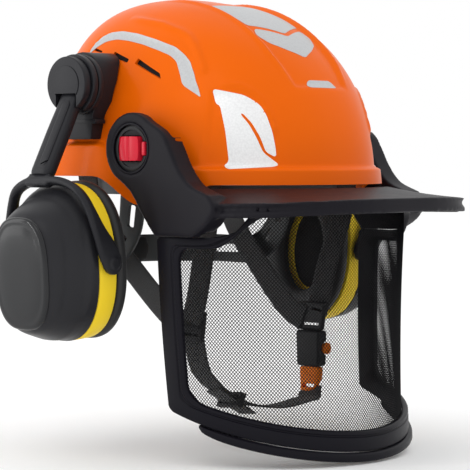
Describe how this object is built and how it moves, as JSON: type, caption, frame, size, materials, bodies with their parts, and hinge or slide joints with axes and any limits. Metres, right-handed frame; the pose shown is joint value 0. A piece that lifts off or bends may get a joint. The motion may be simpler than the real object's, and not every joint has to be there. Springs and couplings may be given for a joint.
{
  "type": "forestry helmet",
  "caption": "Vented forestry helmet with foam liner and harness, flip-up mesh visor on a brow peak, and ear muffs that swing, close, slide and tilt.",
  "frame": {"origin": "middle of the head opening, level with the front rim of the shell", "axes": "front of the helmet towards -Y, wearer's left towards +X, crown towards +Z"},
  "size_m": [0.3806, 0.326, 0.3403],
  "materials": {
    "shell_orange": "glossy injection-moulded",
    "liner_foam": "matt closed-cell foam",
    "headband_grey": "satin moulded",
    "vent_wire": "black coated wire",
    "webbing_black": "ribbed woven webbing",
    "trim_black": "satin moulded",
    "buckle_orange": "moulded",
    "visor_black": "satin moulded, fine texture",
    "release_red": "moulded",
    "muff_black": "satin moulded",
    "cup_gloss": "glossy moulded",
    "band_yellow": "moulded",
    "cushion_black": "soft foam under a smooth skin"
  },
  "bodies": {
    "helmet": {"outer_shell": "shell_orange", "impact_liner": "liner_foam", "headband": "headband_grey", "brow_pad": "liner_foam", "crown_pad": "liner_foam", "vent_grille_left": "vent_wire", "vent_grille_right": "vent_wire", "front_strap_left": "webbing_black", "front_strap_right": "webbing_black", "rear_strap_left": "webbing_black", "rear_strap_right": "webbing_black", "strap_divider_left": "trim_black", "strap_divider_right": "trim_black", "chin_strap": "webbing_black", "strap_tail": "webbing_black", "strap_keeper": "trim_black", "buckle_socket": "trim_black", "buckle_tongue": "buckle_orange", "cradle_hanger_left": "trim_black", "cradle_hanger_right": "trim_black", "visor_socket_left": "trim_black", "visor_socket_right": "trim_black", "muff_bracket_left": "muff_black", "muff_bracket_right": "muff_black"},
    "visor": {"visor_carrier": "visor_black", "visor_frame": "visor_black", "visor_lip": "visor_black", "visor_mesh": "vent_wire", "pivot_cap_left": "trim_black", "pivot_cap_right": "trim_black"},
    "nape_cradle": {"nape_cradle": "headband_grey", "nape_pad": "liner_foam", "ratchet_housing": "trim_black"},
    "ratchet_knob": {"ratchet_knob": "trim_black"},
    "buckle_button": {"buckle_button": "buckle_orange"},
    "release_left": {"release_button_left": "release_red", "release_tab_left": "release_red"},
    "muff_hub_left": {"muff_hub_left": "muff_black"},
    "muff_arm_left": {"muff_arm_left": "muff_black"},
    "muff_yoke_left": {"muff_yoke_left": "muff_black"},
    "muff_cup_left": {"cup_shell_left": "cup_gloss", "cup_cover_left": "cup_gloss", "cup_ring_left": "band_yellow", "ear_cushion_left": "cushion_black", "foam_insert_left": "liner_foam"},
    "release_right": {"release_button_right": "release_red", "release_tab_right": "release_red"},
    "muff_hub_right": {"muff_hub_right": "muff_black"},
    "muff_arm_right": {"muff_arm_right": "muff_black"},
    "muff_yoke_right": {"muff_yoke_right": "muff_black"},
    "muff_cup_right": {"cup_shell_right": "cup_gloss", "cup_cover_right": "cup_gloss", "cup_ring_right": "band_yellow", "ear_cushion_right": "cushion_black", "foam_insert_right": "liner_foam"}
  },
  "joints": [
    {"name": "visor_flip", "type": "hinge", "parent": "helmet", "child": "visor", "pos_m": [0, -0.048, 0.026], "axis": [-1, 0, 0], "range_deg": [0, 80]},
    {"name": "cradle_tilt", "type": "hinge", "parent": "helmet", "child": "nape_cradle", "pos_m": [0, -0.014, -0.008], "axis": [1, 0, 0], "range_deg": [-8, 0]},
    {"name": "ratchet_turn", "type": "hinge", "parent": "nape_cradle", "child": "ratchet_knob", "pos_m": [0, 0.108, -0.054], "axis": [0, 1, 0], "continuous": true},
    {"name": "buckle_press", "type": "slide", "parent": "helmet", "child": "buckle_button", "axis": [-1, 0, 0], "range_m": [0, 0.0015], "stiffness_N_per_m": 500},
    {"name": "release_press_left", "type": "slide", "parent": "visor", "child": "release_left", "axis": [-1, 0, 0], "range_m": [0, 0.0015], "stiffness_N_per_m": 500},
    {"name": "muff_swing_left", "type": "hinge", "parent": "helmet", "child": "muff_hub_left", "pos_m": [0.1258, 0.004, 0.073], "axis": [1, 0, 0], "range_deg": [0, 80]},
    {"name": "muff_close_left", "type": "hinge", "parent": "muff_hub_left", "child": "muff_arm_left", "pos_m": [0.1293, 0.004, 0.062], "axis": [0, 1, 0], "range_deg": [0, 7]},
    {"name": "muff_height_left", "type": "slide", "parent": "muff_arm_left", "child": "muff_yoke_left", "axis": [0.4695, 0, -0.8829], "range_m": [0, 0.01]},
    {"name": "cup_tilt_left", "type": "hinge", "parent": "muff_yoke_left", "child": "muff_cup_left", "pos_m": [0.14, -0.003, -0.056], "axis": [0, 1, 0], "range_deg": [-3, 8]},
    {"name": "release_press_right", "type": "slide", "parent": "visor", "child": "release_right", "axis": [1, 0, 0], "range_m": [0, 0.0015], "stiffness_N_per_m": 500},
    {"name": "muff_swing_right", "type": "hinge", "parent": "helmet", "child": "muff_hub_right", "pos_m": [-0.1258, 0.004, 0.073], "axis": [1, 0, 0], "range_deg": [0, 80]},
    {"name": "muff_close_right", "type": "hinge", "parent": "muff_hub_right", "child": "muff_arm_right", "pos_m": [-0.1293, 0.004, 0.062], "axis": [0, -1, 0], "range_deg": [0, 7]},
    {"name": "muff_height_right", "type": "slide", "parent": "muff_arm_right", "child": "muff_yoke_right", "axis": [-0.4695, 0, -0.8829], "range_m": [0, 0.01]},
    {"name": "cup_tilt_right", "type": "hinge", "parent": "muff_yoke_right", "child": "muff_cup_right", "pos_m": [-0.14, -0.003, -0.056], "axis": [0, -1, 0], "range_deg": [-3, 8]}
  ]
}
